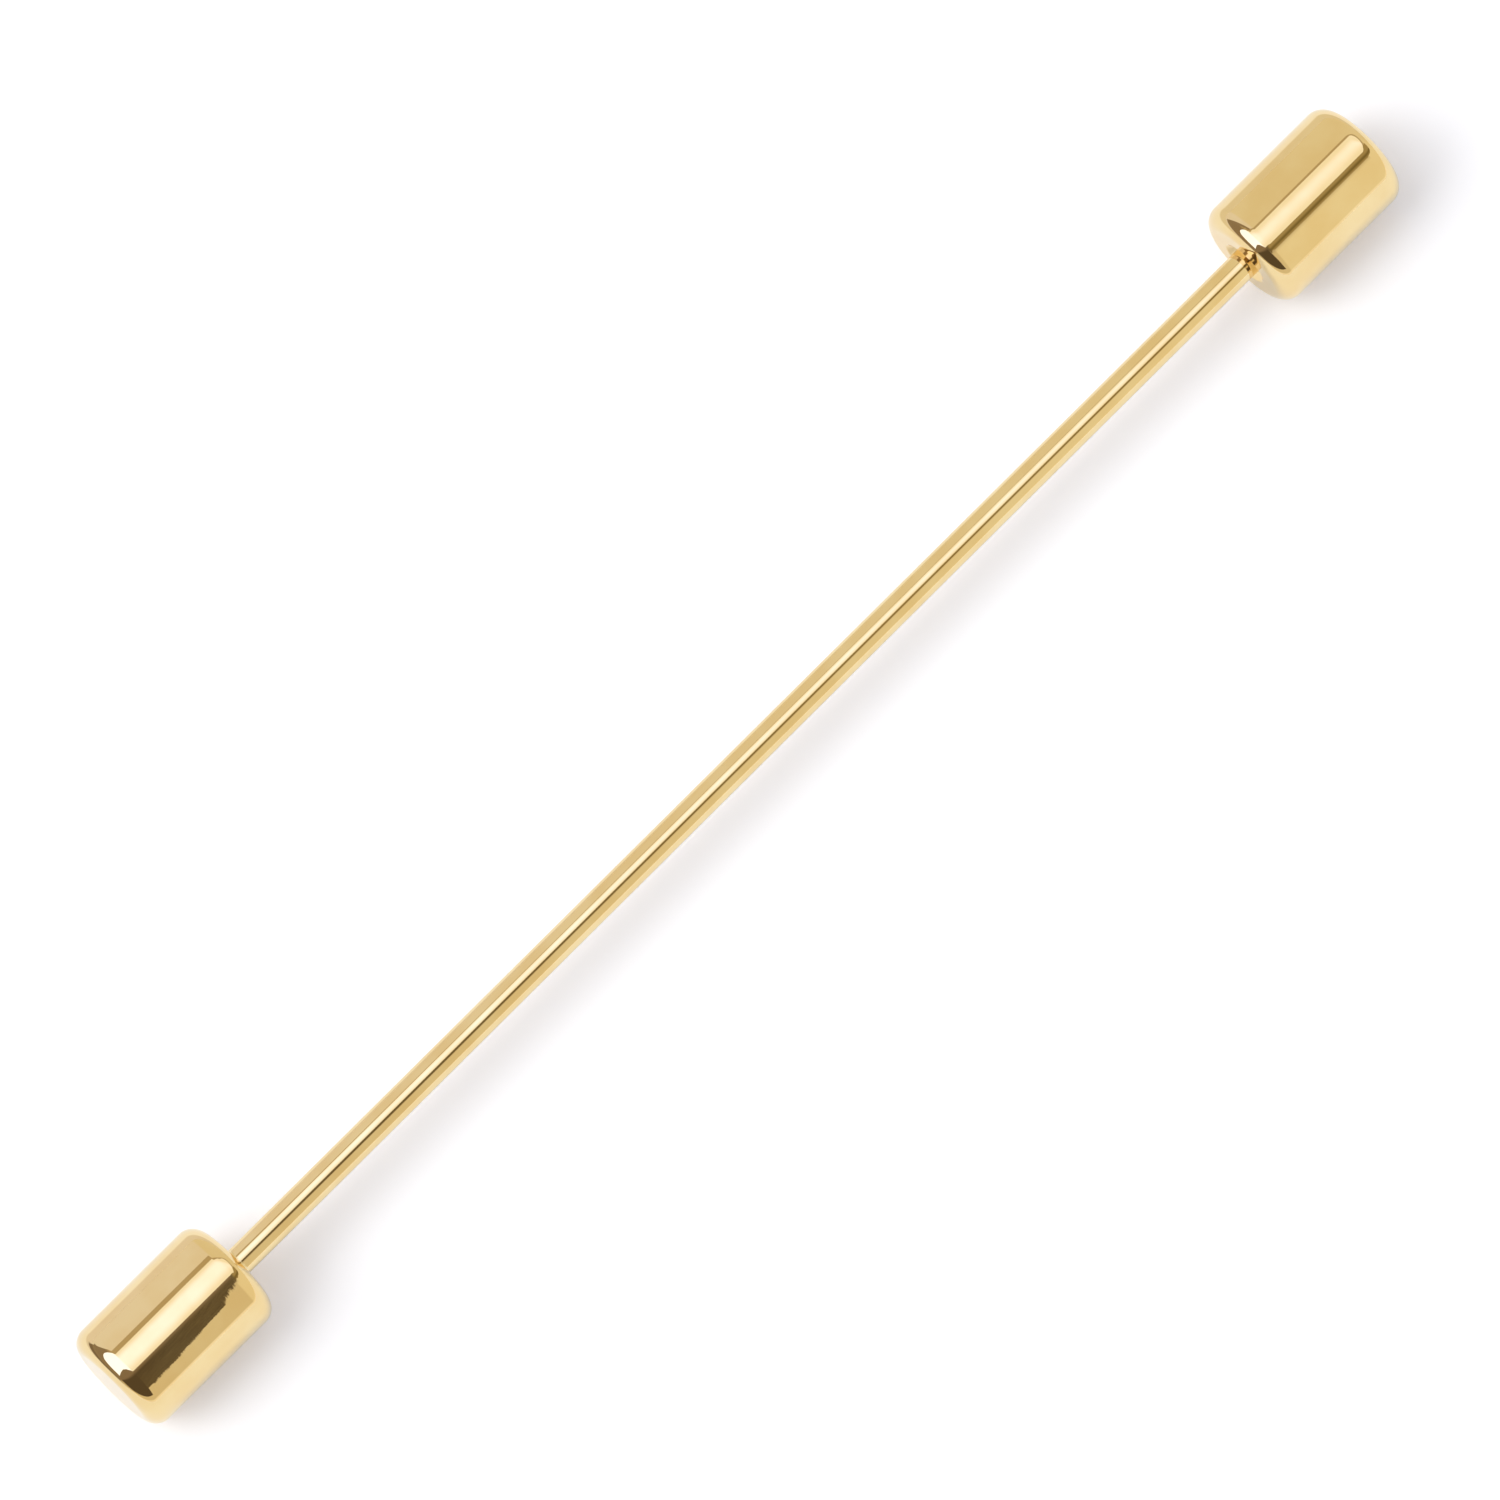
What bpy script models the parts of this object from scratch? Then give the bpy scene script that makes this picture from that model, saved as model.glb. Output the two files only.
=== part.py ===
"""Collar bar: a thin round bar with a barrel head at each end, one soldered on and one that screws off.

Run with blender --background --python part.py. Lengths are in metres. The bar lies along X, as it rests on
a table at z = 0, and the head that screws off is at +X.
"""

import math

import bmesh
import bpy
from mathutils import Matrix, Vector

MM = 0.001

# The bar and its two barrel heads
BAR_DIAMETER = 1.0 * MM
BAR_BETWEEN_HEADS = 46.8 * MM
HEAD_DIAMETER = 4.0 * MM
HEAD_LENGTH = 5.6 * MM
HEAD_EDGE_RADIUS = 0.6 * MM

# The fixed head's blind bore, and the solder that holds the bar in it
FIXED_BORE_DEPTH = 3.6 * MM
BORE_END_GAP = 0.1 * MM
BAR_END_CHAMFER = 0.1 * MM
SOLDER_GAP = 0.03 * MM
SOLDER_COUNTERSINK = 0.25 * MM
SOLDER_RISE = 0.18 * MM

# The right-hand thread between the bar's tip and the screw head
THREAD_PITCH = 0.25 * MM
THREAD_DEPTH = 0.11 * MM
THREAD_LENGTH = 2.0 * MM
THREAD_CLEARANCE = 0.03 * MM
THREAD_NECK_LENGTH = 0.35 * MM
THREAD_NECK_UNDERCUT = 0.02 * MM
FLANK_ANGLE = math.radians(30)

# The screw head's socket, from its mouth inwards
MOUTH_CLEARANCE = 0.12 * MM
MOUTH_CHAMFER = 0.22 * MM
MOUTH_LIP = 0.4 * MM
HOME_GAP = 0.03 * MM
TAP_SPARE = 0.3 * MM
DRILL_SPARE = 0.3 * MM
DRILL_POINT_HALF_ANGLE = math.radians(59)

# The elastic ring in the socket's groove, which grips the bar so that the head can't work loose
RING_SECTION = 0.4 * MM
RING_GRIP_GAP = 0.03 * MM
RING_GROOVE_CLEARANCE = 0.04 * MM

# How finely round shapes are drawn, and how far a cutter reaches past what it cuts
HEAD_FACETS = 48
BAR_FACETS = 24
EDGE_SEGMENTS = 6
SHARP_RIM_ANGLE = math.radians(60)
RING_SECTION_FACETS = 12
CUT_PAST = 0.1 * MM
MERGE_DISTANCE = 0.0001 * MM

# Worked out from the sizes above
BAR_RADIUS = BAR_DIAMETER / 2
HEAD_RADIUS = HEAD_DIAMETER / 2
FIXED_FACE_X = -BAR_BETWEEN_HEADS / 2
SCREW_FACE_X = BAR_BETWEEN_HEADS / 2

RING_GROOVE_WIDTH = RING_SECTION + 2 * RING_GROOVE_CLEARANCE
RING_CENTRE_RADIUS = BAR_RADIUS + RING_GRIP_GAP + RING_SECTION / 2
RING_GROOVE_RADIUS = RING_CENTRE_RADIUS + RING_SECTION / 2 + RING_GROOVE_CLEARANCE
RING_DEPTH = MOUTH_LIP + RING_GROOVE_WIDTH / 2

TAPPED_DEPTH = MOUTH_LIP + RING_GROOVE_WIDTH
SHOULDER_DEPTH = TAPPED_DEPTH - HOME_GAP
NECK_END_DEPTH = SHOULDER_DEPTH + THREAD_NECK_LENGTH
TIP_DEPTH = NECK_END_DEPTH + THREAD_LENGTH
TAP_END_DEPTH = TIP_DEPTH + TAP_SPARE
DRILL_DEPTH = TAP_END_DEPTH + DRILL_SPARE

CREST_RADIUS = BAR_RADIUS - THREAD_CLEARANCE
ROOT_RADIUS = CREST_RADIUS - THREAD_DEPTH
NECK_RADIUS = ROOT_RADIUS - THREAD_NECK_UNDERCUT
TAP_DRILL_RADIUS = ROOT_RADIUS + THREAD_CLEARANCE
TAP_RADIUS = CREST_RADIUS + THREAD_CLEARANCE

# Colour (linear), roughness and metallic value of each finish
GOLD_PLATE = ("gold_plate", (0.87, 0.65, 0.31), 0.12, 1.0)
SOLDER_PLATE = ("plated_solder", (0.84, 0.63, 0.31), 0.25, 1.0)
DARK_RUBBER = ("dark_rubber", (0.02, 0.018, 0.016), 0.6, 0.0)


def clear_scene():
    """Start from an empty scene."""
    for obj in list(bpy.data.objects):
        bpy.data.objects.remove(obj, do_unlink=True)


def add_collection(name):
    """A new collection in the scene."""
    collection = bpy.data.collections.new(name)
    bpy.context.scene.collection.children.link(collection)
    return collection


def add_finish(finish):
    """A plain material from a finish's name, colour, roughness and metallic value."""
    name, colour, roughness, metallic = finish
    material = bpy.data.materials.new(name)
    material.use_nodes = True
    shader = material.node_tree.nodes["Principled BSDF"]
    shader.inputs["Base Color"].default_value = (*colour, 1.0)
    shader.inputs["Roughness"].default_value = roughness
    shader.inputs["Metallic"].default_value = metallic
    return material


def add_axis_empty(name, parent, location):
    """An empty that marks a place on the bar's axis, for the pieces there to hang on."""
    empty = bpy.data.objects.new(name, None)
    bpy.context.scene.collection.objects.link(empty)
    empty.parent = parent
    empty.location = location
    empty.empty_display_size = HEAD_RADIUS
    return empty


def add_round_piece(name, bm, collection, parent, x=0.0, faces_back=False):
    """An object whose own Z axis lies along the bar, pointing to +X, or to -X where it faces back."""
    mesh = bpy.data.meshes.new(name)
    bm.to_mesh(mesh)
    bm.free()
    mesh.shade_smooth()
    obj = bpy.data.objects.new(name, mesh)
    collection.objects.link(obj)
    obj.parent = parent
    obj.location = (x, 0.0, 0.0)
    obj.rotation_euler = (0.0, -math.pi / 2 if faces_back else math.pi / 2, 0.0)
    return obj


def half_facet(facets):
    """The turn that puts a flat, and not a corner, on each side of a round piece with these facets."""
    return Matrix.Rotation(math.pi / facets, 4, "Z")


def across_flats(radius, facets):
    """The corner radius of a facetted circle whose flats lie at the given radius."""
    return radius / math.cos(math.pi / facets)


def turned(name, outline, collection, parent, x=0.0, faces_back=False, closed=False):
    """A piece turned on the lathe from (radius, height) points, listed down its outer side."""
    bm = bmesh.new()
    start = half_facet(BAR_FACETS)
    points = [Vector((across_flats(radius, BAR_FACETS), 0.0, height)) for radius, height in outline]
    verts = [bm.verts.new(start @ point) for point in points]
    for upper, lower in zip(verts, verts[1:]):
        bm.edges.new((upper, lower))
    if closed:
        bm.edges.new((verts[-1], verts[0]))
    obj = add_round_piece(name, bm, collection, parent, x, faces_back)
    lathe = obj.modifiers.new("lathe", "SCREW")
    lathe.axis = "Z"
    lathe.angle = 2 * math.pi
    lathe.steps = BAR_FACETS
    lathe.render_steps = BAR_FACETS
    lathe.use_merge_vertices = True
    lathe.merge_threshold = MERGE_DISTANCE
    lathe.use_smooth_shade = True
    return obj


def helical_cutter(name, outline, collection, parent, x, length):
    """A thread's groove as a solid: (radius, height) points carried along a right-hand helix."""
    bm = bmesh.new()
    start = half_facet(BAR_FACETS)
    points = [Vector((across_flats(radius, BAR_FACETS), 0.0, height)) for radius, height in outline]
    bm.faces.new([bm.verts.new(start @ point) for point in points])
    steps = math.ceil(BAR_FACETS * length / THREAD_PITCH)
    bmesh.ops.spin(
        bm,
        geom=bm.verts[:] + bm.edges[:] + bm.faces[:],
        cent=(0.0, 0.0, 0.0),
        axis=(0.0, 0.0, 1.0),
        dvec=(0.0, 0.0, THREAD_PITCH / BAR_FACETS),
        angle=steps * 2 * math.pi / BAR_FACETS,
        steps=steps,
    )
    bmesh.ops.recalc_face_normals(bm, faces=bm.faces)
    return add_round_piece(name, bm, collection, parent, x)


def barrel(name, collection, parent, x):
    """A head before it is drilled: a cylinder with both rims rounded over."""
    bm = bmesh.new()
    corner_radius = across_flats(HEAD_RADIUS, HEAD_FACETS)
    bmesh.ops.create_cone(
        bm,
        cap_ends=True,
        segments=HEAD_FACETS,
        radius1=corner_radius,
        radius2=corner_radius,
        depth=HEAD_LENGTH,
        matrix=half_facet(HEAD_FACETS),
    )
    obj = add_round_piece(name, bm, collection, parent, x)
    rims = obj.modifiers.new("rounded_rims", "BEVEL")
    rims.limit_method = "ANGLE"
    rims.angle_limit = SHARP_RIM_ANGLE
    rims.width = HEAD_EDGE_RADIUS
    rims.segments = EDGE_SEGMENTS
    return obj


def cut(obj, cutter):
    """Take a cutter's shape out of a piece, and keep the cutter out of sight."""
    cutter.hide_render = True
    cutter.display_type = "WIRE"
    boolean = obj.modifiers.new("cut_" + cutter.name, "BOOLEAN")
    boolean.operation = "DIFFERENCE"
    boolean.solver = "EXACT"
    boolean.object = cutter


def groove_half_width(towards_mouth):
    """Half a thread groove's width, at a distance from its mid depth towards its open side."""
    return THREAD_PITCH / 4 + towards_mouth * math.tan(FLANK_ANGLE)


def make_bar(parts, cutters, axis, screw_axis):
    """The bar: plain in the fixed head and between the heads, then a shoulder, a neck and a threaded tip."""
    fixed_end = FIXED_FACE_X - FIXED_BORE_DEPTH + BORE_END_GAP
    shoulder = SCREW_FACE_X + SHOULDER_DEPTH
    neck_end = SCREW_FACE_X + NECK_END_DEPTH
    tip = SCREW_FACE_X + TIP_DEPTH
    neck_step = CREST_RADIUS - NECK_RADIUS
    outline = [
        (0.0, tip),
        (NECK_RADIUS, tip),
        (CREST_RADIUS, tip - neck_step),
        (CREST_RADIUS, neck_end),
        (NECK_RADIUS, neck_end - neck_step),
        (NECK_RADIUS, shoulder),
        (BAR_RADIUS, shoulder),
        (BAR_RADIUS, fixed_end + BAR_END_CHAMFER),
        (BAR_RADIUS - BAR_END_CHAMFER, fixed_end),
        (0.0, fixed_end),
    ]
    bar = turned("bar", outline, parts, axis)

    root_width = groove_half_width(-THREAD_DEPTH / 2)
    crest_width = groove_half_width(THREAD_DEPTH / 2)
    groove_outline = [
        (ROOT_RADIUS, -root_width),
        (CREST_RADIUS, -crest_width),
        (CREST_RADIUS + CUT_PAST, -crest_width),
        (CREST_RADIUS + CUT_PAST, crest_width),
        (CREST_RADIUS, crest_width),
        (ROOT_RADIUS, root_width),
    ]
    first_turn = thread_start_depth()
    length = TIP_DEPTH + THREAD_PITCH - first_turn
    cut(bar, helical_cutter("bar_thread_groove", groove_outline, cutters, screw_axis, first_turn, length))
    return bar


def thread_start_depth():
    """Where the bar's groove begins: in the neck, a quarter of a pitch before the slope up to the thread."""
    return NECK_END_DEPTH - (CREST_RADIUS - NECK_RADIUS) - THREAD_PITCH / 4


def make_fixed_head(parts, cutters, axis):
    """The head at -X: a barrel with a blind bore, countersunk for the solder."""
    head = barrel("fixed_head", parts, axis, FIXED_FACE_X - HEAD_LENGTH / 2)
    bore_radius = BAR_RADIUS + SOLDER_GAP
    outline = [
        (0.0, CUT_PAST),
        (bore_radius + SOLDER_COUNTERSINK + CUT_PAST, CUT_PAST),
        (bore_radius, -SOLDER_COUNTERSINK),
        (bore_radius, -FIXED_BORE_DEPTH),
        (0.0, -FIXED_BORE_DEPTH - bore_radius / math.tan(DRILL_POINT_HALF_ANGLE)),
    ]
    cut(head, turned("fixed_head_bore", outline, cutters, axis, FIXED_FACE_X))
    return head


def make_solder_seam(parts, axis):
    """The ring of solder that fills the countersink and rises against the bar."""
    inner_radius = BAR_RADIUS + SOLDER_GAP
    outline = [
        (inner_radius, SOLDER_RISE),
        (BAR_RADIUS + SOLDER_COUNTERSINK, 0.0),
        (inner_radius, SOLDER_GAP - SOLDER_COUNTERSINK),
    ]
    return turned("solder_seam", outline, parts, axis, FIXED_FACE_X, closed=True)


def make_screw_head(parts, cutters, screw_axis):
    """The head at +X: a barrel with a countersunk mouth, a groove for the ring and a tapped blind hole."""
    head = barrel("screw_head", parts, screw_axis, HEAD_LENGTH / 2)
    mouth_radius = BAR_RADIUS + MOUTH_CLEARANCE
    outline = [
        (0.0, CUT_PAST),
        (mouth_radius + MOUTH_CHAMFER + CUT_PAST, CUT_PAST),
        (mouth_radius, -MOUTH_CHAMFER),
        (mouth_radius, -MOUTH_LIP),
        (RING_GROOVE_RADIUS, -MOUTH_LIP),
        (RING_GROOVE_RADIUS, -TAPPED_DEPTH),
        (TAP_DRILL_RADIUS, -TAPPED_DEPTH),
        (TAP_DRILL_RADIUS, -DRILL_DEPTH),
        (0.0, -DRILL_DEPTH - TAP_DRILL_RADIUS / math.tan(DRILL_POINT_HALF_ANGLE)),
    ]
    cut(head, turned("screw_head_socket", outline, cutters, screw_axis, faces_back=True))

    wall_width = groove_half_width(THREAD_DEPTH / 2)
    deep_width = groove_half_width(-THREAD_DEPTH / 2)
    groove_outline = [
        (TAP_RADIUS, -deep_width),
        (TAP_RADIUS, deep_width),
        (TAP_DRILL_RADIUS, wall_width),
        (TAP_DRILL_RADIUS - CUT_PAST, wall_width),
        (TAP_DRILL_RADIUS - CUT_PAST, -wall_width),
        (TAP_DRILL_RADIUS, -wall_width),
    ]
    # The tapped groove takes the bar's ridge, so it lies an odd number of half pitches from the bar's groove
    turns_back = math.ceil((thread_start_depth() - TAPPED_DEPTH) / THREAD_PITCH) + 0.5
    first_turn = thread_start_depth() - turns_back * THREAD_PITCH
    length = TAP_END_DEPTH - first_turn
    cut(head, helical_cutter("screw_head_tap", groove_outline, cutters, screw_axis, first_turn, length))
    return head


def make_grip_ring(parts, screw_axis):
    """The elastic ring that sits in the screw head's groove, round the bar."""
    bpy.ops.mesh.primitive_torus_add(
        major_radius=RING_CENTRE_RADIUS,
        minor_radius=RING_SECTION / 2,
        major_segments=BAR_FACETS,
        minor_segments=RING_SECTION_FACETS,
    )
    ring = bpy.context.object
    ring.name = "grip_ring"
    ring.data.name = "grip_ring"
    for collection in list(ring.users_collection):
        collection.objects.unlink(ring)
    parts.objects.link(ring)
    ring.parent = screw_axis
    ring.location = (RING_DEPTH, 0.0, 0.0)
    ring.rotation_euler = (0.0, math.pi / 2, 0.0)
    ring.data.shade_smooth()
    return ring


def finish(piece, material):
    """Give a piece its material, and shading that follows its large faces."""
    piece.data.materials.append(material)
    piece.modifiers.new("shading", "WEIGHTED_NORMAL")


def main():
    """Build the collar bar, with its cutters kept in a collection of their own."""
    clear_scene()
    parts = add_collection("collar_bar")
    cutters = add_collection("collar_bar_cutters")
    axis = add_axis_empty("bar_axis", None, (0.0, 0.0, HEAD_RADIUS))
    screw_axis = add_axis_empty("screw_axis", axis, (SCREW_FACE_X, 0.0, 0.0))

    gold = add_finish(GOLD_PLATE)
    finish(make_bar(parts, cutters, axis, screw_axis), gold)
    finish(make_fixed_head(parts, cutters, axis), gold)
    finish(make_solder_seam(parts, axis), add_finish(SOLDER_PLATE))
    finish(make_screw_head(parts, cutters, screw_axis), gold)
    finish(make_grip_ring(parts, screw_axis), add_finish(DARK_RUBBER))
    bpy.context.view_layer.update()


main()
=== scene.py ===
"""Looks of a collar bar: a polished gold-plated bar between two barrel heads, one of which screws off.

Lengths are in metres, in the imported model's frame: the bar lies along X, its heads rest on the table at
z = 0, and the head that screws off is at +X.
"""

import math
import random

import bmesh
import bpy
from mathutils import Matrix, Vector, noise
from mathutils.geometry import interpolate_bezier


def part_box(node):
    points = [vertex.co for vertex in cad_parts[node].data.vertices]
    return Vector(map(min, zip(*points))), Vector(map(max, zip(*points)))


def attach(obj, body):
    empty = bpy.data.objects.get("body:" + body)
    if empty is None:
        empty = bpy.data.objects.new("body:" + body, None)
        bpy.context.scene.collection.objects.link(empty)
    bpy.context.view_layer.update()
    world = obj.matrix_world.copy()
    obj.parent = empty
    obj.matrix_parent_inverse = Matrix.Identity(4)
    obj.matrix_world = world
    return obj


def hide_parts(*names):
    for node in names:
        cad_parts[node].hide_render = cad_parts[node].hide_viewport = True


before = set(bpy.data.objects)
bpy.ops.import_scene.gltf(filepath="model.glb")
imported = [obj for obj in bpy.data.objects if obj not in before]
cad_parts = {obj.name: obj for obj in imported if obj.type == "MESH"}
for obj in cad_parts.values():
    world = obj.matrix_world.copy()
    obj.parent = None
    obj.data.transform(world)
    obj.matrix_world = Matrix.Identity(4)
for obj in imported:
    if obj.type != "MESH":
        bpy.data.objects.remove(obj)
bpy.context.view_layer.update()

MM = 0.001

# Sizes and places read from the frame
FIXED_LOW, FIXED_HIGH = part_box("fixed_head")
SCREW_LOW, SCREW_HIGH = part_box("screw_head")
BAR_LOW, BAR_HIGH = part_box("bar")
SEAM_LOW, SEAM_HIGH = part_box("solder_seam")
RING_LOW, RING_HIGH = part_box("grip_ring")
HEAD_RADIUS = (FIXED_HIGH.z - FIXED_LOW.z) / 2
BAR_RADIUS = (BAR_HIGH.z - BAR_LOW.z) / 2
SEAM_RADIUS = (SEAM_HIGH.z - SEAM_LOW.z) / 2
RING_SECTION = RING_HIGH.x - RING_LOW.x
RING_CENTRE_RADIUS = (RING_HIGH.z - RING_LOW.z - RING_SECTION) / 2
AXIS_POINT = Vector((0.0, 0.0, (FIXED_LOW.z + FIXED_HIGH.z) / 2))
AXIS = Vector((1.0, 0.0, 0.0))

# Sizes of the solids that their boxes don't give
HEAD_EDGE_RADIUS = 0.6 * MM
FIXED_BORE_RADIUS = BAR_RADIUS + 0.03 * MM
FIXED_BORE_DEPTH = 3.6 * MM
FIXED_COUNTERSINK = 0.25 * MM
BAR_END_CHAMFER = 0.1 * MM
MOUTH_RADIUS = BAR_RADIUS + 0.12 * MM
MOUTH_CHAMFER = 0.22 * MM
MOUTH_LIP = 0.4 * MM
GROOVE_RADIUS = 0.97 * MM
TAPPED_DEPTH = 0.88 * MM
DRILL_DEPTH = 3.8 * MM
DRILL_POINT_HALF_ANGLE = math.radians(59)
SHOULDER_DEPTH = 0.85 * MM
NECK_END_DEPTH = 1.2 * MM
TAP_END_DEPTH = 3.5 * MM
THREAD_PITCH = 0.25 * MM
THREAD_DEPTH = 0.11 * MM
THREAD_CLEARANCE = 0.03 * MM
THREAD_FLANK_ANGLE = math.radians(30)
CREST_RADIUS = BAR_RADIUS - THREAD_CLEARANCE
ROOT_RADIUS = CREST_RADIUS - THREAD_DEPTH
NECK_RADIUS = ROOT_RADIUS - 0.02 * MM
TAP_DRILL_RADIUS = ROOT_RADIUS + THREAD_CLEARANCE
TAP_RADIUS = CREST_RADIUS + THREAD_CLEARANCE

# Softening that polish leaves on edges that the solids have sharp
EDGE_BREAK = 0.03 * MM
SOLDER_SINK = 0.02 * MM
SOLDER_UNEVENNESS = 0.3

# How finely round shapes are drawn
HEAD_STEPS = 192
BAR_STEPS = 96
RIM_SEGMENTS = 16
BREAK_SEGMENTS = 3
FILLET_POINTS = 12
RING_SECTION_STEPS = 32
CARD_CURVE_STEPS = 8
SHARP_ANGLE = math.radians(35)
GUARD_BAND = 0.02 * MM
CUT_PAST = 0.1 * MM
MERGE_DISTANCE = 0.0005 * MM
NEAR = 0.001 * MM

# Colours, linear
GOLD_PALE = (0.90, 0.68, 0.34, 1.0)
GOLD_DEEP = (0.87, 0.63, 0.29, 1.0)
SOLDER_PALE = (0.90, 0.71, 0.40, 1.0)
SOLDER_DEEP = (0.85, 0.65, 0.33, 1.0)
RUBBER_BLACK = (0.014, 0.013, 0.012, 1.0)
RUBBER_GREY = (0.035, 0.032, 0.029, 1.0)
WHITE = (1.0, 1.0, 1.0, 1.0)
BLACK = (0.0, 0.0, 0.0, 1.0)

# The photograph's camera, aimed beside the middle of the bar
CAMERA_AZIMUTH = math.radians(-45.603)
CAMERA_ELEVATION = math.radians(76.393)
CAMERA_DISTANCE = 0.448
CAMERA_VIEW_ANGLE = math.radians(6.22)
CAMERA_AIM_RIGHT = 0.178 * MM
CAMERA_AIM_UP = 0.318 * MM

# The table, the even light of the room, and the key light from the left of the picture
TABLE_RADIUS = 2.5
TABLE_COLOUR = (0.95, 0.95, 0.95, 1.0)
# Painted reflection: only the metal sees the far part of the table darker and tinted, left and right; the camera sees
# it white
TABLE_FAR_LEFT_REFLECTION = (0.772, 0.697, 0.638, 1.0)
TABLE_FAR_RIGHT_REFLECTION = (0.75, 0.675, 0.514, 1.0)
TABLE_FAR_Y = (8 * MM, 11 * MM)
TABLE_LEFT_TO_RIGHT = (-10 * MM, 10 * MM)
# Painted reflection: a dark, slanted patch on the table towards -X that only the metal sees; the camera sees the
# table white there
TABLE_DARK_REFLECTION_COLOUR = (0.227, 0.178, 0.135, 1.0)
TABLE_DARK_REFLECTION_X = (-70 * MM, -80 * MM)
TABLE_DARK_REFLECTION_SLANT = 2.6
TABLE_DARK_REFLECTION_SIDE_X = (-26 * MM, -30 * MM)
TABLE_DARK_REFLECTION_SIDE_SLANT = 0.42
TABLE_LIFT_FOR_CAMERA = (0.175, 0.165, 0.185, 1.0)
TABLE_LIFT_FOR_METAL = (0.075, 0.125, 0.215, 1.0)
AMBIENT = (0.56, 0.57, 0.59, 1.0)
KEY_FROM = [Vector((-0.55, 0.47, 1.0)), Vector((-1.2, 0.47, 1.0))]
KEY_WIDTH = math.radians(43)
KEY_STRENGTH = 0.96

# The tent over the object, which only the metal shows: cards with outlines in millimetres, seen from above
SOFTBOX_HEIGHT = 102 * MM
SOFTBOX_OUTLINE = [
    (140, 14), (126, -3), (112, -13), (90, -21), (54, -31.5), (46, -31), (34, -29), (12, -28), (-12, -30),
    (-30, -33), (-285, -33), (-284, 20), (-295, 100), (-262, 150), (-190, 152), (-129, 136), (-70, 105),
    (-31, 75), (-17, 58), (-11.2, 57.5), (-9.5, 50.5), (-3, 47.5), (30, 46), (46, 41.5), (54, 41), (84, 43.5),
    (115, 39), (136, 28),
]
SOFTBOX_EDGE_LIGHT = (1.06, 1.12, 1.25, 1.0)
SOFTBOX_MIDDLE_LIGHT = (1.35, 1.45, 2.10, 1.0)
SOFTBOX_HOT_LIGHT = (1.45, 1.75, 2.75, 1.0)
SOFTBOX_FAR_LIGHT = (1.03, 1.06, 1.05, 1.0)
SOFTBOX_FAR_SHARE = 0.3
SOFTBOX_SLANT = 0.31
RIM_HEIGHT = 104 * MM
RIM_OUTLINE = [
    (-9, -20), (100, -20), (150, -15), (180, 10), (180, 40), (150, 50), (100, 51), (52, 51), (30, 54), (10, 57),
    (-2, 61), (-5.5, 66), (-7.4, 76), (-8.8, 84), (-11.5, 85.5), (-17, 86), (-30, 112), (-56, 149), (-135, 305),
    (-420, 1000), (-700, 1000), (-250, 0),
]
RIM_LIGHT = (0.52, 0.45, 0.33, 1.0)
RIM_END_LIGHT = (0.29, 0.24, 0.19, 1.0)
RIM_END_X = (-22 * MM, -60 * MM)
GAP_HEIGHT = 103 * MM
GAP_OUTLINE = [
    (-9.3, -15), (100, -15), (150, -15), (190, -10), (205, -40), (150, -58), (71, -59.5), (48, -62), (36, -57),
    (22, -56), (8, -60), (-3, -65), (-8.5, -60), (-10.4, -50), (-12, -40),
]
GAP_MIDDLE_Y = -49 * MM
GAP_HALF_WIDTH = 11 * MM
GAP_DARK = (0.205, 0.165, 0.068, 1.0)
GAP_EDGE_LIGHT = (0.40, 0.335, 0.19, 1.0)
GAP_FLAG_END = (-6 * MM, 32 * MM)

# The dark flag of the tent, whose ragged edge shows in the fixed head
FLAG_HEIGHT = 101 * MM
FLAG_OUTLINE = [
    (-16, -365), (-364, -345), (-900, -345), (-900, 2), (-150, 2), (-75, 1), (-45, -7), (-28, -18), (-18, -27.5),
    (-10, -28.5),
]
FLAG_RAGGED_ALONG = (-23.85 * MM, -28.1 * MM)
FLAG_RAGGED_AROUND = (math.radians(48.5), math.radians(61))
FLAG_RAGGED_DIP = math.radians(18)
FLAG_RAGGED_DIP_SHARE = 0.11
FLAG_RAGGED_ANGLE = math.radians(3.0)
FLAG_TEETH = 24
FLAG_EDGE_LIGHT = (0.26, 0.21, 0.17, 1.0)
FLAG_DARK = (0.105, 0.084, 0.06, 1.0)
FLAG_LIGHT = (0.17, 0.145, 0.10, 1.0)
FLAG_MOTTLE = (9000.0, 80.0, 1.0)
FLAG_SEED = 7

# The room's walls as the metal shows them. Angles in degrees: round the bar from straight up, positive towards
# -Y, and along the bar from square on, positive towards +X
WALL_LEFT_NEAR = (0.84, 0.84, 0.89, 1.0)
WALL_LEFT_FAR = (0.81, 0.78, 0.66, 1.0)
WALL_RIGHT_NEAR = (0.74, 0.69, 0.56, 1.0)
WALL_RIGHT_FAR = (0.89, 0.865, 0.735, 1.0)
WALL_END = (0.30, 0.25, 0.20, 1.0)
WALL_END_FACING = Vector((-2.38, -1.0, 0.52))
WALL_END_EDGE = (-0.03, 0.03)
NEAR_TO_FAR = (5.0, 14.0)
LEFT_TO_RIGHT = (-20.0, 40.0)
WALL_END_AROUND = (40.0, 20.0)
HORIZON_AROUND = (85.0, 87.0)
HORIZON = (1.02, 1.02, 1.02, 1.0)


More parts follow.
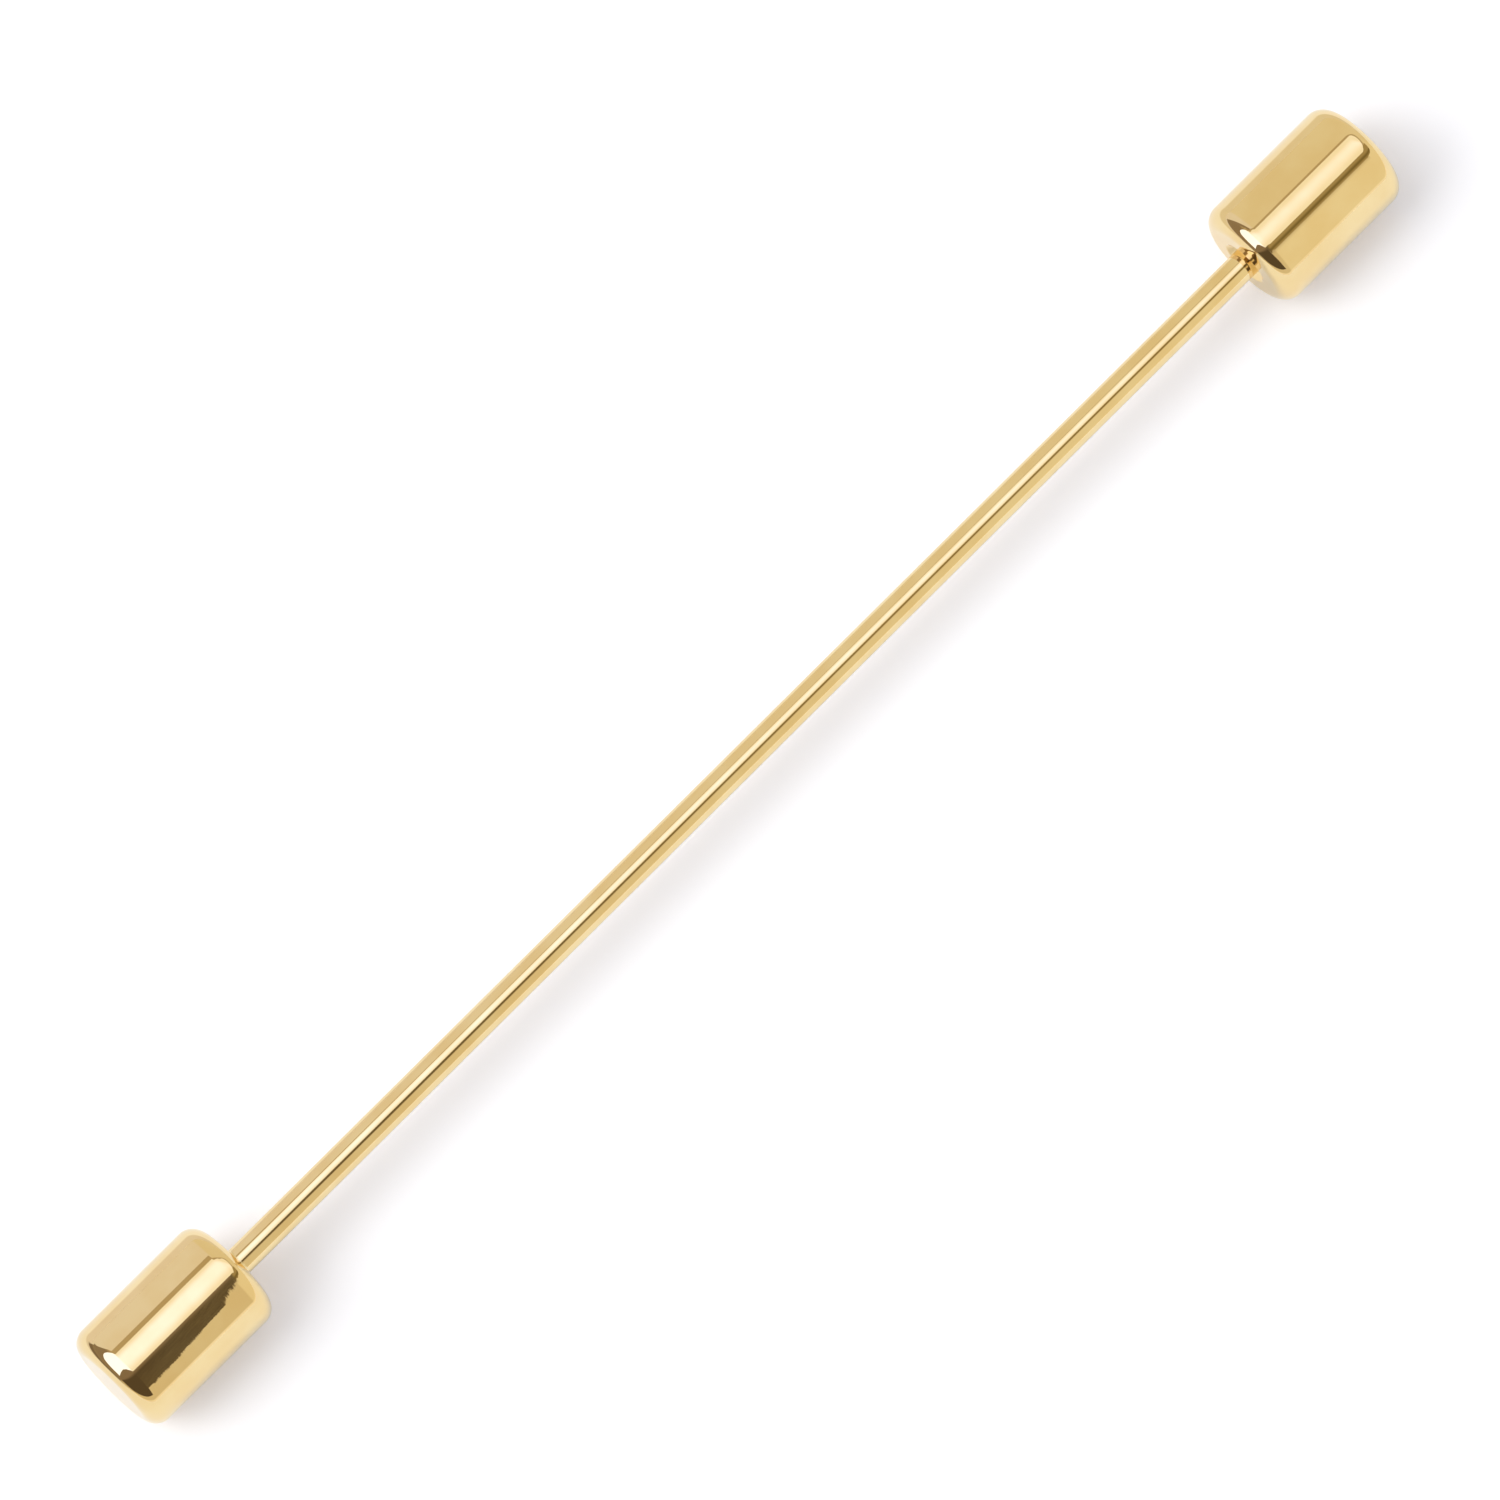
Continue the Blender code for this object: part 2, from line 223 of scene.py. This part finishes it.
class Wire:
    """A node's output. Arithmetic on wires adds Math nodes to their tree."""

    def __init__(self, tree, socket):
        self.tree = tree
        self.socket = socket

    @classmethod
    def node(cls, tree, kind, settings=None, inputs=None, output=0):
        """A new node's output: its settings are set first, then its sockets take values or wires."""
        made = tree.nodes.new(kind)
        for name, value in (settings or {}).items():
            setattr(made, name, value)
        for name, value in (inputs or {}).items():
            if isinstance(value, Wire):
                tree.links.new(value.socket, made.inputs[name])
            else:
                made.inputs[name].default_value = value
        return cls(tree, made.outputs[output])

    def other(self, output):
        """Another output of the same node."""
        return Wire(self.tree, self.socket.node.outputs[output])

    def math(self, operation, *values):
        """A Math node on these values and wires."""
        return Wire.node(self.tree, "ShaderNodeMath", {"operation": operation}, dict(enumerate(values)))

    def __add__(self, other):
        return self.math("ADD", self, other)

    def __radd__(self, other):
        return self.math("ADD", other, self)

    def __sub__(self, other):
        return self.math("SUBTRACT", self, other)

    def __rsub__(self, other):
        return self.math("SUBTRACT", other, self)

    def __mul__(self, other):
        return self.math("MULTIPLY", self, other)

    def __rmul__(self, other):
        return self.math("MULTIPLY", other, self)

    def bigger(self, other):
        """The larger of two values."""
        return self.math("MAXIMUM", self, other)

    def ramp(self, low, high):
        """0 below low and 1 above high, with a smooth rise between; it falls where low is above high."""
        inputs = {"Value": self, "From Min": low, "From Max": high}
        return Wire.node(self.tree, "ShaderNodeMapRange", {"interpolation_type": "SMOOTHSTEP"}, inputs)

    def mix(self, first, second):
        """A colour from first to second, as this value goes from 0 to 1."""
        inputs = {0: self, 6: first, 7: second}
        return Wire.node(self.tree, "ShaderNodeMix", {"data_type": "RGBA"}, inputs, output=2)


def new_material(name):
    """A material, its node tree and its Principled shader."""
    material = bpy.data.materials.new(name)
    material.use_nodes = True
    tree = material.node_tree
    return material, tree, tree.nodes["Principled BSDF"]


def grain(tree, scale, detail=2.0):
    """Noise from 0 to 1 with this many features a metre along X, Y and Z."""
    place = Wire.node(tree, "ShaderNodeTexCoord", output="Object")
    stretched = Wire.node(tree, "ShaderNodeMapping", None, {"Vector": place, "Scale": scale})
    inputs = {"Vector": stretched, "Scale": 1.0, "Detail": detail}
    return Wire.node(tree, "ShaderNodeTexNoise", None, inputs, output="Fac")


def relief(tree, shader, height, depth):
    """Bump whose height runs from 0 to 1 over this depth in metres."""
    inputs = {"Height": height, "Strength": 1.0, "Distance": depth}
    bump = Wire.node(tree, "ShaderNodeBump", None, inputs, output="Normal")
    tree.links.new(bump.socket, shader.inputs["Normal"])


def gold_plate(name, polish_marks):
    """Mirror-polished gold plate: faint polishing marks, a slight haze and a slow change of tone."""
    material, tree, shader = new_material(name)
    marks = grain(tree, polish_marks, detail=3.0)
    haze = grain(tree, (700.0, 700.0, 700.0), detail=3.0)
    ripple = grain(tree, (1800.0, 1800.0, 1800.0), detail=0.0)
    colour = haze.ramp(0.3, 0.7).mix(GOLD_DEEP, GOLD_PALE)
    roughness = 0.014 + 0.012 * haze.ramp(0.45, 0.75) + 0.03 * marks.ramp(0.6, 0.8)
    tree.links.new(colour.socket, shader.inputs["Base Color"])
    tree.links.new(roughness.socket, shader.inputs["Roughness"])
    shader.inputs["Metallic"].default_value = 1.0
    relief(tree, shader, 0.15 * marks + ripple, 0.0006 * MM)
    return material


def plated_solder():
    """Solder under the plate: the same gold, a little satin and uneven."""
    material, tree, shader = new_material("plated_solder")
    lumps = grain(tree, (6000.0, 6000.0, 6000.0), detail=2.0)
    colour = lumps.ramp(0.3, 0.7).mix(SOLDER_DEEP, SOLDER_PALE)
    roughness = 0.18 + 0.14 * lumps
    tree.links.new(colour.socket, shader.inputs["Base Color"])
    tree.links.new(roughness.socket, shader.inputs["Roughness"])
    shader.inputs["Metallic"].default_value = 1.0
    relief(tree, shader, lumps, 0.006 * MM)
    return material


def dark_rubber():
    """Matt black rubber with a fine moulded grain."""
    material, tree, shader = new_material("dark_rubber")
    grit = grain(tree, (15000.0, 15000.0, 15000.0), detail=3.0)
    colour = grit.ramp(0.35, 0.75).mix(RUBBER_BLACK, RUBBER_GREY)
    roughness = 0.5 + 0.2 * grit
    tree.links.new(colour.socket, shader.inputs["Base Color"])
    tree.links.new(roughness.socket, shader.inputs["Roughness"])
    relief(tree, shader, grit, 0.004 * MM)
    return material


def close_up(bm):
    """Merge what a spin left double, then point every face outwards."""
    bmesh.ops.remove_doubles(bm, verts=bm.verts, dist=MERGE_DISTANCE)
    bmesh.ops.recalc_face_normals(bm, faces=bm.faces)


def lathe(outline, steps, closed=False):
    """A round shape about the bar's axis, spun from (x, radius) points."""
    bm = bmesh.new()
    verts = [bm.verts.new(AXIS_POINT + Vector((x, 0.0, radius))) for x, radius in outline]
    for first, second in zip(verts, verts[1:]):
        bm.edges.new((first, second))
    if closed:
        bm.edges.new((verts[-1], verts[0]))
    spin(bm, 2 * math.pi, steps, use_merge=True)
    close_up(bm)
    return bm


def spin(bm, angle, steps, rise=0.0, use_merge=False):
    """Spin what a bmesh holds about the bar's axis, moving along the bar by rise at each step."""
    bmesh.ops.spin(
        bm,
        geom=bm.verts[:] + bm.edges[:] + bm.faces[:],
        cent=AXIS_POINT,
        axis=AXIS,
        dvec=AXIS * rise,
        angle=angle,
        steps=steps,
        use_merge=use_merge,
    )


def beside(corner, neighbour, distance):
    """The point at this distance from an outline's corner, on the way to the next one."""
    start = Vector(corner)
    return tuple(start + (Vector(neighbour) - start).normalized() * distance)


def turned(outline, rims, steps):
    """A round shape spun from (x, radius) points. Rims are the corners to round: (corner, size, segments).

    A narrow band on each side of a rounded corner keeps the faces next to it straight in the shading.
    """
    points = list(outline)
    for corner, size, _ in rims:
        at = points.index(corner)
        reach = size + GUARD_BAND
        points[at:at + 1] = [beside(corner, points[at - 1], reach), corner, beside(corner, points[at + 1], reach)]
    bm = lathe(points, steps)
    for (x, radius), size, segments in rims:
        round_over(bm, x, radius, size, segments)
    return bm


def ring_edges(bm, x, radius):
    """The edges of a circle about the bar's axis."""

    def lies_on_it(vert):
        reach = math.hypot(vert.co.y, vert.co.z - AXIS_POINT.z)
        return abs(vert.co.x - x) < NEAR and abs(reach - radius) < NEAR

    return [edge for edge in bm.edges if all(lies_on_it(vert) for vert in edge.verts)]


def round_over(bm, x, radius, offset, segments):
    """Round the edge that runs round a shape at this place and radius."""
    bmesh.ops.bevel(
        bm,
        geom=ring_edges(bm, x, radius),
        offset=offset,
        segments=segments,
        profile=0.5,
        affect="EDGES",
        material=-1,
    )


def helix(outline, first_x, last_x):
    """A right-hand thread's groove as a solid, from (height along the bar, radius) points."""
    bm = bmesh.new()
    verts = [bm.verts.new(AXIS_POINT + Vector((first_x + x, 0.0, radius))) for x, radius in outline]
    bm.faces.new(verts)
    steps = math.ceil(BAR_STEPS * (last_x - first_x) / THREAD_PITCH)
    spin(bm, steps * 2 * math.pi / BAR_STEPS, steps, rise=THREAD_PITCH / BAR_STEPS)
    close_up(bm)
    return bm


def new_object(name, bm):
    """An object in the scene from a bmesh."""
    mesh = bpy.data.meshes.new(name)
    bm.to_mesh(mesh)
    bm.free()
    made = bpy.data.objects.new(name, mesh)
    bpy.context.scene.collection.objects.link(made)
    return made


def carve(piece, cutter):
    """Cut a cutter's shape out of a piece for good, and drop the cutter."""
    boolean = piece.modifiers.new("carve", "BOOLEAN")
    boolean.operation = "DIFFERENCE"
    boolean.solver = "EXACT"
    boolean.object = cutter
    graph = bpy.context.evaluated_depsgraph_get()
    carved = bpy.data.meshes.new_from_object(piece.evaluated_get(graph))
    piece.modifiers.clear()
    piece.data = carved
    bpy.data.objects.remove(cutter)


def dress(piece, material, body, node):
    """Give a piece its finish, and let it stand for a CAD node on that node's body."""
    piece.data.materials.clear()
    piece.data.materials.append(material)
    piece.data.shade_smooth()
    piece.data.set_sharp_from_angle(angle=SHARP_ANGLE)
    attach(piece, body)
    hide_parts(node)


def barrel(end_x, face_x, hole):
    """A head turned from bar stock: rounded rims, and a hole given as (depth, radius) from its mouth."""
    inward = math.copysign(1.0, end_x - face_x)
    bore = [(face_x + inward * depth, radius) for depth, radius in hole]
    shoulders = [(end_x, HEAD_RADIUS), (face_x, HEAD_RADIUS)]
    rims = [(corner, HEAD_EDGE_RADIUS, RIM_SEGMENTS) for corner in shoulders]
    rims += [(corner, EDGE_BREAK, BREAK_SEGMENTS) for corner in bore[:2]]
    return turned([(end_x, 0.0)] + shoulders + bore, rims, HEAD_STEPS)


def drill_point(depth, radius):
    """The end of a drilled hole: its wall's last ring, and the point on the axis."""
    return [(depth, radius), (depth + radius / math.tan(DRILL_POINT_HALF_ANGLE), 0.0)]


def groove_half_width(towards_mouth):
    """Half a thread groove's width, at a distance from its mid depth towards its open side."""
    return THREAD_PITCH / 4 + towards_mouth * math.tan(THREAD_FLANK_ANGLE)


def groove_outline(deep_radius, open_radius, past_radius):
    """A thread groove's section: its floor, its mouth, and the part of the cutter that reaches past it."""
    narrow = groove_half_width(-THREAD_DEPTH / 2)
    wide = groove_half_width(THREAD_DEPTH / 2)
    half = [(narrow, deep_radius), (wide, open_radius), (wide, past_radius)]
    return half + [(-x, radius) for x, radius in reversed(half)]


def thread_start_x():
    """Where the bar's thread groove begins, in the neck."""
    return SCREW_LOW.x + NECK_END_DEPTH - (CREST_RADIUS - NECK_RADIUS) - THREAD_PITCH / 4


def make_fixed_head(finish):
    """The barrel that the bar is soldered into."""
    hole = [(0.0, FIXED_BORE_RADIUS + FIXED_COUNTERSINK), (FIXED_COUNTERSINK, FIXED_BORE_RADIUS)]
    hole += drill_point(FIXED_BORE_DEPTH, FIXED_BORE_RADIUS)
    piece = new_object("fixed_barrel", barrel(FIXED_LOW.x, FIXED_HIGH.x, hole))
    dress(piece, finish, "pin", "fixed_head")


def make_screw_head(finish):
    """The barrel that screws off: a countersunk mouth, a groove for the ring, and a tapped hole."""
    hole = [
        (0.0, MOUTH_RADIUS + MOUTH_CHAMFER),
        (MOUTH_CHAMFER, MOUTH_RADIUS),
        (MOUTH_LIP, MOUTH_RADIUS),
        (MOUTH_LIP, GROOVE_RADIUS),
        (TAPPED_DEPTH, GROOVE_RADIUS),
        (TAPPED_DEPTH, TAP_DRILL_RADIUS),
    ]
    hole += drill_point(DRILL_DEPTH, TAP_DRILL_RADIUS)
    piece = new_object("screw_barrel", barrel(SCREW_HIGH.x, SCREW_LOW.x, hole))

    # The tapped groove takes the bar's ridge, an odd number of half pitches from the bar's groove
    turns_back = math.ceil((thread_start_x() - SCREW_LOW.x - TAPPED_DEPTH) / THREAD_PITCH) + 0.5
    first_x = thread_start_x() - turns_back * THREAD_PITCH
    section = groove_outline(TAP_RADIUS, TAP_DRILL_RADIUS, TAP_DRILL_RADIUS - CUT_PAST)
    carve(piece, new_object("tap", helix(section, first_x, SCREW_LOW.x + TAP_END_DEPTH)))
    dress(piece, finish, "screw_end", "screw_head")


def make_bar(finish):
    """The bar, from its end in the fixed head to its threaded tip in the other."""
    shoulder = SCREW_LOW.x + SHOULDER_DEPTH
    neck_end = SCREW_LOW.x + NECK_END_DEPTH
    slope = CREST_RADIUS - NECK_RADIUS
    outline = [
        (BAR_HIGH.x, 0.0),
        (BAR_HIGH.x, NECK_RADIUS),
        (BAR_HIGH.x - slope, CREST_RADIUS),
        (neck_end, CREST_RADIUS),
        (neck_end - slope, NECK_RADIUS),
        (shoulder, NECK_RADIUS),
        (shoulder, BAR_RADIUS),
        (BAR_LOW.x + BAR_END_CHAMFER, BAR_RADIUS),
        (BAR_LOW.x, BAR_RADIUS - BAR_END_CHAMFER),
        (BAR_LOW.x, 0.0),
    ]
    bm = turned(outline, [((shoulder, BAR_RADIUS), EDGE_BREAK, BREAK_SEGMENTS)], BAR_STEPS)
    piece = new_object("polished_bar", bm)
    section = groove_outline(ROOT_RADIUS, CREST_RADIUS, CREST_RADIUS + CUT_PAST)
    carve(piece, new_object("die", helix(section, thread_start_x(), BAR_HIGH.x + THREAD_PITCH)))
    dress(piece, finish, "pin", "bar")


def make_solder_fillet(finish):
    """The solder: a hollow fillet between the bar and the fixed head's face, filling the countersink."""
    face_x = FIXED_HIGH.x
    rise = SEAM_HIGH.x - face_x
    spread = SEAM_RADIUS - BAR_RADIUS
    turns = [math.pi / 2 * step / FILLET_POINTS for step in range(FILLET_POINTS + 1)]
    outline = [(face_x + rise * (1 - math.sin(turn)), SEAM_RADIUS - spread * math.cos(turn)) for turn in turns]
    outline += [(SEAM_LOW.x, BAR_RADIUS), (SEAM_LOW.x, BAR_RADIUS - SOLDER_SINK)]
    outline += [(face_x + rise, BAR_RADIUS - SOLDER_SINK)]
    bm = lathe(outline, HEAD_STEPS, closed=True)
    for vert in bm.verts:
        if vert.co.x > face_x:
            around = (vert.co - AXIS_POINT).yz.normalized()
            swell = noise.noise(Vector((around.x, around.y, 0.0)) * 1.5)
            vert.co.x = face_x + (vert.co.x - face_x) * (1 - SOLDER_UNEVENNESS * abs(swell))
    piece = new_object("solder_fillet", bm)
    dress(piece, finish, "pin", "solder_seam")


def make_grip_ring(finish):
    """The elastic ring in the screw head's groove."""
    bm = bmesh.new()
    middle_x = (RING_LOW.x + RING_HIGH.x) / 2
    place = Matrix.Translation(AXIS_POINT + Vector((middle_x, 0.0, RING_CENTRE_RADIUS)))
    upright = Matrix.Rotation(math.pi / 2, 4, "X")
    bmesh.ops.create_circle(bm, segments=RING_SECTION_STEPS, radius=RING_SECTION / 2, matrix=place @ upright)
    spin(bm, 2 * math.pi, BAR_STEPS, use_merge=True)
    close_up(bm)
    piece = new_object("rubber_ring", bm)
    dress(piece, finish, "ring", "grip_ring")


def make_table():
    """The pale table. A little light of its own, for the camera and the metal, lifts it to white. To the metal alone
    it shows painted reflections: a darker, tinted far part and a dark patch towards -X.
    """
    bm = bmesh.new()
    bmesh.ops.create_circle(bm, cap_ends=True, segments=64, radius=TABLE_RADIUS)
    table = new_object("table", bm)
    material, tree, shader = new_material("table_white")
    camera = Wire.node(tree, "ShaderNodeLightPath", output="Is Camera Ray")
    metal = camera.other("Is Glossy Ray").bigger(camera.other("Is Transmission Ray"))
    place = Wire.node(tree, "ShaderNodeTexCoord", output="Object")
    x = Wire.node(tree, "ShaderNodeSeparateXYZ", None, {"Vector": place}, output="X")
    y = x.other("Y")
    # Painted dark reflection: a slanted patch towards -X, shown only to the metal, which also takes the metal's lift
    # off there
    end = (x - TABLE_DARK_REFLECTION_SLANT * y).ramp(*TABLE_DARK_REFLECTION_X) * (x + TABLE_DARK_REFLECTION_SIDE_SLANT * y).ramp(*TABLE_DARK_REFLECTION_SIDE_X)
    end = metal * end
    # Painted reflection: only the metal sees the far part of the table darker and tinted
    far_reflection = x.ramp(*TABLE_LEFT_TO_RIGHT).mix(TABLE_FAR_LEFT_REFLECTION, TABLE_FAR_RIGHT_REFLECTION)
    colour = (metal * y.ramp(*TABLE_FAR_Y)).mix(TABLE_COLOUR, far_reflection)
    colour = end.mix(colour, TABLE_DARK_REFLECTION_COLOUR)
    lift = camera.mix((metal - end).mix(BLACK, TABLE_LIFT_FOR_METAL), TABLE_LIFT_FOR_CAMERA)
    tree.links.new(colour.socket, shader.inputs["Base Color"])
    tree.links.new(lift.socket, shader.inputs["Emission Color"])
    shader.inputs["Emission Strength"].default_value = 1.0
    shader.inputs["Roughness"].default_value = 1.0
    shader.inputs["Specular IOR Level"].default_value = 0.0
    table.data.materials.append(material)


def glow(name, colour):
    """A material that gives off an even light."""
    material = bpy.data.materials.new(name)
    material.use_nodes = True
    tree = material.node_tree
    tree.nodes.clear()
    output = tree.nodes.new("ShaderNodeOutputMaterial")
    light = Wire.node(tree, "ShaderNodeEmission", None, {"Color": colour, "Strength": 1.0})
    tree.links.new(light.socket, output.inputs["Surface"])
    return material


def card(name, corners, material):
    """A flat card that only the metal shows."""
    bm = bmesh.new()
    bm.faces.new([bm.verts.new(corner) for corner in corners])
    made = new_object(name, bm)
    made.data.materials.append(material)
    made.visible_camera = False
    made.visible_diffuse = False
    made.visible_shadow = False


def smooth(outline):
    """The points of a closed curve through an outline's points."""
    points = [Vector(point).to_3d() for point in outline]
    nexts = points[1:] + points[:1]
    steps = [after - here for here, after in zip(points, nexts)]
    ways = [(before.normalized() + step.normalized()).normalized() for before, step in zip(steps[-1:] + steps, steps)]
    curve = []
    for here, after, step, way, next_way in zip(points, nexts, steps, ways, ways[1:] + ways[:1]):
        reach = step.length / 3
        curve += interpolate_bezier(here, here + way * reach, after - next_way * reach, after, CARD_CURVE_STEPS)[:-1]
    return [tuple(point.to_2d()) for point in curve]


def level(outline, height):
    """The corners of a level card, from an outline in millimetres."""
    return [(x * MM, y * MM, height) for x, y in outline]


def softbox_glow():
    """The softbox's light: strongest along its middle, and hot towards -X."""
    material = glow("softbox_white", WHITE)
    tree = material.node_tree
    place = Wire.node(tree, "ShaderNodeTexCoord", output="Object")
    x = Wire.node(tree, "ShaderNodeSeparateXYZ", None, {"Vector": place}, output="X")
    y = x.other("Y")
    inside = y.ramp(-27 * MM, 7 * MM) * (y + SOFTBOX_SLANT * x).ramp(49 * MM, 25 * MM)
    light = inside.mix(SOFTBOX_EDGE_LIGHT, SOFTBOX_MIDDLE_LIGHT)
    light = (SOFTBOX_FAR_SHARE * x.ramp(0.0, 50 * MM)).mix(light, SOFTBOX_FAR_LIGHT)
    light = x.ramp(-16 * MM, -28 * MM).mix(light, SOFTBOX_HOT_LIGHT)
    tree.links.new(light.socket, tree.nodes["Emission"].inputs["Color"])
    return material


def flag_glow():
    """The dark flag's light: mottled, deeper towards -X, and paler along the edge beside the softbox."""
    material = glow("flag_dark", FLAG_LIGHT)
    tree = material.node_tree
    place = Wire.node(tree, "ShaderNodeTexCoord", output="Object")
    x = Wire.node(tree, "ShaderNodeSeparateXYZ", None, {"Vector": place}, output="X")
    mottle = grain(tree, FLAG_MOTTLE, detail=1.0)
    light = (mottle.ramp(0.35, 0.65) * x.ramp(-20 * MM, -11 * MM)).mix(FLAG_DARK, FLAG_LIGHT)
    light = x.other("Y").ramp(-44 * MM, -28 * MM).mix(light, FLAG_EDGE_LIGHT)
    tree.links.new(light.socket, tree.nodes["Emission"].inputs["Color"])
    return material


def gap_glow():
    """The gap's light: darkest along its middle."""
    material = glow("gap_dark", GAP_DARK)
    tree = material.node_tree
    place = Wire.node(tree, "ShaderNodeTexCoord", output="Object")
    x = Wire.node(tree, "ShaderNodeSeparateXYZ", None, {"Vector": place}, output="X")
    away = x.math("ABSOLUTE", x.other("Y") - GAP_MIDDLE_Y)
    light = away.ramp(0.0, GAP_HALF_WIDTH).mix(GAP_DARK, GAP_EDGE_LIGHT)
    light = x.ramp(*GAP_FLAG_END).mix(FLAG_LIGHT, light)
    tree.links.new(light.socket, tree.nodes["Emission"].inputs["Color"])
    return material


def ragged_edge():
    """The flag's ragged edge, in millimetres: where it shows in the fixed head, seen from the camera."""
    random.seed(FLAG_SEED)
    camera_x = bpy.context.scene.camera.location.x
    rise = FLAG_HEIGHT - AXIS_POINT.z - HEAD_RADIUS
    points = []
    for step in range(FLAG_TEETH + 1):
        share = step / FLAG_TEETH
        place = FLAG_RAGGED_ALONG[0] + (FLAG_RAGGED_ALONG[1] - FLAG_RAGGED_ALONG[0]) * share
        around = FLAG_RAGGED_AROUND[0] + (FLAG_RAGGED_AROUND[1] - FLAG_RAGGED_AROUND[0]) * share
        around -= FLAG_RAGGED_DIP * math.exp(-(share / FLAG_RAGGED_DIP_SHARE) ** 2)
        around += random.uniform(-1, 1) * FLAG_RAGGED_ANGLE * math.sqrt(share)
        slope = (place - camera_x) / CAMERA_DISTANCE
        x = place + slope * rise / math.cos(around)
        points.append((x / MM, -rise * math.tan(around) / MM))
    return points


def rim_glow():
    """The light of the softbox's rim: darker towards -X."""
    material = glow("rim_brown", RIM_LIGHT)
    tree = material.node_tree
    place = Wire.node(tree, "ShaderNodeTexCoord", output="Object")
    x = Wire.node(tree, "ShaderNodeSeparateXYZ", None, {"Vector": place}, output="X")
    light = x.ramp(*RIM_END_X).mix(RIM_LIGHT, RIM_END_LIGHT)
    tree.links.new(light.socket, tree.nodes["Emission"].inputs["Color"])
    return material


def make_tent():
    """The cards over the object: a softbox, its rim, a dark gap beside it and a dark flag."""
    card("softbox", level(smooth(SOFTBOX_OUTLINE), SOFTBOX_HEIGHT), softbox_glow())
    card("softbox_rim", level(smooth(RIM_OUTLINE), RIM_HEIGHT), rim_glow())
    card("softbox_gap", level(smooth(GAP_OUTLINE), GAP_HEIGHT), gap_glow())
    card("dark_flag", level(FLAG_OUTLINE + ragged_edge(), FLAG_HEIGHT), flag_glow())


def light_room():
    """The room: white to the camera, even light on matt surfaces, and walls in the metal."""
    world = bpy.data.worlds.new("pale_room")
    bpy.context.scene.world = world
    world.use_nodes = True
    tree = world.node_tree
    tree.nodes.clear()

    direction = Wire.node(tree, "ShaderNodeTexCoord", output="Generated")
    x = Wire.node(tree, "ShaderNodeSeparateXYZ", None, {"Vector": direction}, output="X")
    y = x.other("Y")
    z = x.other("Z")
    around = y.math("ARCTAN2", 0 - y, z) * math.degrees(1)
    along = x.math("ARCSINE", x) * math.degrees(1)

    far = along.ramp(*NEAR_TO_FAR)
    left = far.mix(WALL_LEFT_NEAR, WALL_LEFT_FAR)
    right = far.mix(WALL_RIGHT_NEAR, WALL_RIGHT_FAR)
    wall = around.ramp(*LEFT_TO_RIGHT).mix(left, right)
    inputs = {0: direction, 1: WALL_END_FACING}
    toward_end = Wire.node(tree, "ShaderNodeVectorMath", {"operation": "DOT_PRODUCT"}, inputs, output="Value")
    wall = (toward_end.ramp(*WALL_END_EDGE) * around.ramp(*WALL_END_AROUND)).mix(wall, WALL_END)
    wall = around.ramp(*HORIZON_AROUND).mix(wall, HORIZON)

    camera = Wire.node(tree, "ShaderNodeLightPath", output="Is Camera Ray")
    metal = camera.other("Is Glossy Ray").bigger(camera.other("Is Transmission Ray"))
    shown = camera.mix(metal.mix(AMBIENT, wall), WHITE)
    background = Wire.node(tree, "ShaderNodeBackground", None, {"Color": shown, "Strength": 1.0})
    output = tree.nodes.new("ShaderNodeOutputWorld")
    tree.links.new(background.socket, output.inputs["Surface"])


def light_key():
    """A long key light from the left of the picture, as two lamps side by side, which gives the soft shadow."""
    for direction in KEY_FROM:
        lamp = bpy.data.lights.new("key", "SUN")
        lamp.energy = KEY_STRENGTH
        lamp.angle = KEY_WIDTH
        key = bpy.data.objects.new("key", lamp)
        key.rotation_euler = direction.to_track_quat("Z", "Y").to_euler()
        key.visible_glossy = False
        bpy.context.scene.collection.objects.link(key)


def place_camera():
    """The camera at the photograph's angle."""
    toward_camera = Vector((
        math.sin(CAMERA_AZIMUTH) * math.cos(CAMERA_ELEVATION),
        -math.cos(CAMERA_AZIMUTH) * math.cos(CAMERA_ELEVATION),
        math.sin(CAMERA_ELEVATION),
    ))
    turn = (-toward_camera).to_track_quat("-Z", "Y")
    aim = AXIS_POINT + turn @ Vector((CAMERA_AIM_RIGHT, CAMERA_AIM_UP, 0.0))
    lens = bpy.data.cameras.new("camera")
    lens.angle = CAMERA_VIEW_ANGLE
    lens.clip_start = CAMERA_DISTANCE / 100
    lens.clip_end = CAMERA_DISTANCE * 100
    camera = bpy.data.objects.new("camera", lens)
    camera.location = aim + toward_camera * CAMERA_DISTANCE
    camera.rotation_euler = turn.to_euler()
    bpy.context.scene.collection.objects.link(camera)
    bpy.context.scene.camera = camera


place_camera()
light_room()
light_key()
make_table()
make_tent()

turned_gold = gold_plate("turned_gold", (9000.0, 500.0, 500.0))
drawn_gold = gold_plate("drawn_gold", (120.0, 12000.0, 12000.0))
make_bar(drawn_gold)
make_fixed_head(turned_gold)
make_screw_head(turned_gold)
make_solder_fillet(plated_solder())
make_grip_ring(dark_rubber())

bpy.context.scene.view_settings.view_transform = "Standard"
